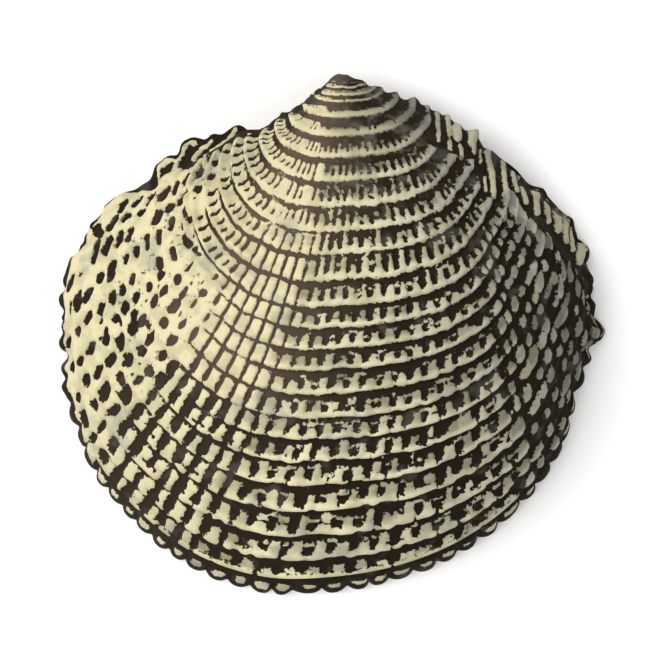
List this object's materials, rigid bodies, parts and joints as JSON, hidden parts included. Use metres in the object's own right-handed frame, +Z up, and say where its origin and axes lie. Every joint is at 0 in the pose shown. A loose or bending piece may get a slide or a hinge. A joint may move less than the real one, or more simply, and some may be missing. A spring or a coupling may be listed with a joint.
{
  "type": "lucine clam shell valve",
  "caption": "Domed, nearly round clam valve with a pointed beak, concentric ridges crossed by fine radial riblets, hollow beneath, lying on its flat margin.",
  "frame": {"origin": "on the surface the valve lies on, under the middle of its outline", "axes": "+X towards the posterior end, +Y towards the beak, +Z up out of the dome; the flat margin lies on z = 0"},
  "size_m": [0.0494, 0.0474, 0.0153],
  "materials": {
    "shell": "matte"
  },
  "bodies": {
    "root": {"left_valve": "shell"}
  },
  "joints": []
}
